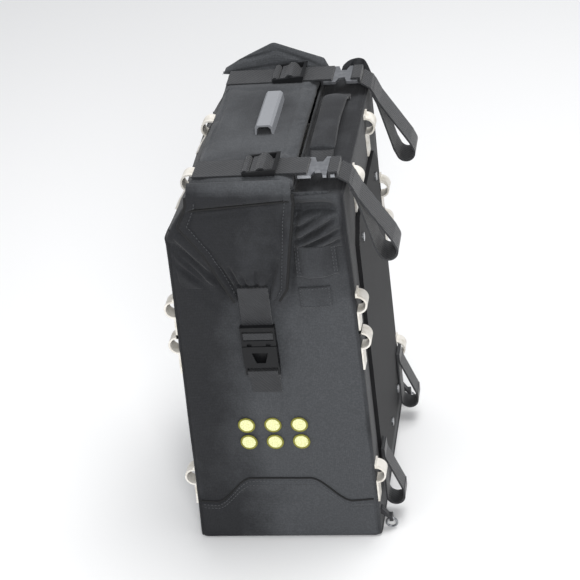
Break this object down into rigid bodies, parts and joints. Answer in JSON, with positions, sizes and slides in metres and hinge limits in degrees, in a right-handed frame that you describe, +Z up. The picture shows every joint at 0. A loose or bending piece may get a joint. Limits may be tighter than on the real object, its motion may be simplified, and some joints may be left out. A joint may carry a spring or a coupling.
{
  "type": "motorcycle saddlebag",
  "caption": "Tall soft motorcycle saddlebag with a roll-top closure, end buckles, top straps with hooks, lashing loops and a carry handle, strapped to a tube side rack.",
  "frame": {"origin": "centre of the flat base, on its under face", "axes": "+X towards the rack and the motorcycle, +Y towards the front of the motorcycle, +Z up"},
  "size_m": [0.2709, 0.316, 0.491],
  "materials": {
    "shell": "coated woven, dull",
    "piping": "smooth, dull",
    "liner": "coated, smooth",
    "board": "matte",
    "webbing": "woven, dull",
    "grey_webbing": "woven, dull",
    "coated_strip": "satin",
    "grip": "woven, dull",
    "moulding": "satin",
    "alloy": "bead blasted",
    "steel": "satin",
    "reflector": "retroreflective film",
    "label": "smooth, blank"
  },
  "bodies": {
    "bag": {"base_panel": "shell", "rear_panel": "shell", "front_panel": "shell", "outer_panel": "shell", "shoulder_panel": "shell", "inner_panel": "shell", "top_strip": "shell", "throat": "shell", "outer_piping": "piping", "inner_piping": "piping", "liner": "liner", "base_board": "board", "back_board": "board", "harness_panel": "board", "end_grabs": "webbing", "handle_anchors": "webbing", "ring_tabs": "webbing", "rear_rack_strap": "webbing", "front_rack_strap": "webbing", "rear_rack_eye": "webbing", "front_rack_eye": "webbing", "rear_bottom_strap": "webbing", "front_bottom_strap": "webbing", "rear_anchor_webbing": "webbing", "front_anchor_webbing": "webbing", "inner_lashing_loops": "coated_strip", "outer_lashing_loops": "coated_strip", "rear_buckle_female": "moulding", "front_buckle_female": "moulding", "harness_rivets": "steel", "reflective_dots": "reflector", "label_patches": "label"},
    "roll_top": {"roll": "shell", "roll_battens": "board", "end_fold": "shell", "top_loop": "grey_webbing", "lock_tabs": "webbing", "rear_top_strap": "webbing", "front_top_strap": "webbing"},
    "handle": {"handle_grip": "grip", "handle_webbing": "webbing"},
    "rear_flap_body": {"rear_flap": "shell", "rear_flap_webbing": "webbing", "rear_buckle_male": "moulding"},
    "rear_outer_prong_body": {"rear_prong_outer": "moulding"},
    "rear_inner_prong_body": {"rear_prong_inner": "moulding"},
    "rear_lock_body": {"rear_ladder_lock": "moulding"},
    "rear_hook_body": {"rear_hook": "alloy"},
    "rear_ring_body": {"rear_bottom_ring": "steel"},
    "front_flap_body": {"front_flap": "shell", "front_flap_webbing": "webbing", "front_buckle_male": "moulding"},
    "front_outer_prong_body": {"front_prong_outer": "moulding"},
    "front_inner_prong_body": {"front_prong_inner": "moulding"},
    "front_lock_body": {"front_ladder_lock": "moulding"},
    "front_hook_body": {"front_hook": "alloy"},
    "front_ring_body": {"front_bottom_ring": "steel"}
  },
  "joints": [
    {"name": "roll_top_lift", "type": "slide", "parent": "bag", "child": "roll_top", "axis": [0, 0, 1], "range_m": [0, 0.14], "deforming": ["throat", "rear_rack_eye", "front_rack_eye", "rear_prong_outer", "front_prong_outer", "rear_prong_inner", "front_prong_inner"]},
    {"name": "handle_lift", "type": "slide", "parent": "bag", "child": "handle", "axis": [0, 0, 1], "range_m": [0, 0.018], "deforming": ["handle_webbing"]},
    {"name": "rear_flap_hinge", "type": "hinge", "parent": "roll_top", "child": "rear_flap_body", "pos_m": [-0.002, -0.1454, 0.445], "axis": [-1, 0, 0], "range_deg": [0, 110]},
    {"name": "rear_outer_prong_pinch", "type": "hinge", "parent": "rear_flap_body", "child": "rear_outer_prong_body", "pos_m": [-0.0125, -0.1529, 0.274], "axis": [0, -1, 0], "range_deg": [0, 7], "stiffness_Nm_per_rad": 0.05, "springref_deg": -20.05},
    {"name": "rear_inner_prong_pinch", "type": "hinge", "parent": "rear_flap_body", "child": "rear_inner_prong_body", "pos_m": [0.0085, -0.1529, 0.274], "axis": [0, 1, 0], "range_deg": [0, 7], "stiffness_Nm_per_rad": 0.05, "springref_deg": -20.05},
    {"name": "rear_ladder_lock_tilt", "type": "hinge", "parent": "roll_top", "child": "rear_lock_body", "pos_m": [0.003, -0.113, 0.4696], "axis": [0, -1, 0], "range_deg": [0, 35], "deforming": ["rear_top_strap"]},
    {"name": "rear_hook_swing", "type": "hinge", "parent": "roll_top", "child": "rear_hook_body", "pos_m": [0.062, -0.113, 0.4645], "axis": [0, -1, 0], "range_deg": [0, 60]},
    {"name": "rear_ring_swing", "type": "hinge", "parent": "bag", "child": "rear_ring_body", "pos_m": [0.117, -0.128, 0.0146], "axis": [1, 0, 0], "range_deg": [-60, 60]},
    {"name": "front_flap_hinge", "type": "hinge", "parent": "roll_top", "child": "front_flap_body", "pos_m": [-0.002, 0.1454, 0.445], "axis": [1, 0, 0], "range_deg": [0, 110]},
    {"name": "front_outer_prong_pinch", "type": "hinge", "parent": "front_flap_body", "child": "front_outer_prong_body", "pos_m": [-0.0125, 0.1529, 0.274], "axis": [0, -1, 0], "range_deg": [0, 7], "stiffness_Nm_per_rad": 0.05, "springref_deg": -20.05},
    {"name": "front_inner_prong_pinch", "type": "hinge", "parent": "front_flap_body", "child": "front_inner_prong_body", "pos_m": [0.0085, 0.1529, 0.274], "axis": [0, 1, 0], "range_deg": [0, 7], "stiffness_Nm_per_rad": 0.05, "springref_deg": -20.05},
    {"name": "front_ladder_lock_tilt", "type": "hinge", "parent": "roll_top", "child": "front_lock_body", "pos_m": [0.003, 0.113, 0.4696], "axis": [0, -1, 0], "range_deg": [0, 35], "deforming": ["front_top_strap"]},
    {"name": "front_hook_swing", "type": "hinge", "parent": "roll_top", "child": "front_hook_body", "pos_m": [0.062, 0.113, 0.4645], "axis": [0, -1, 0], "range_deg": [0, 60]},
    {"name": "front_ring_swing", "type": "hinge", "parent": "bag", "child": "front_ring_body", "pos_m": [0.117, 0.128, 0.0146], "axis": [1, 0, 0], "range_deg": [-60, 60]}
  ],
  "couplings": [
    {"joint": "rear_inner_prong_pinch", "follows": "rear_outer_prong_pinch", "ratio": 1},
    {"joint": "front_inner_prong_pinch", "follows": "front_outer_prong_pinch", "ratio": 1}
  ]
}
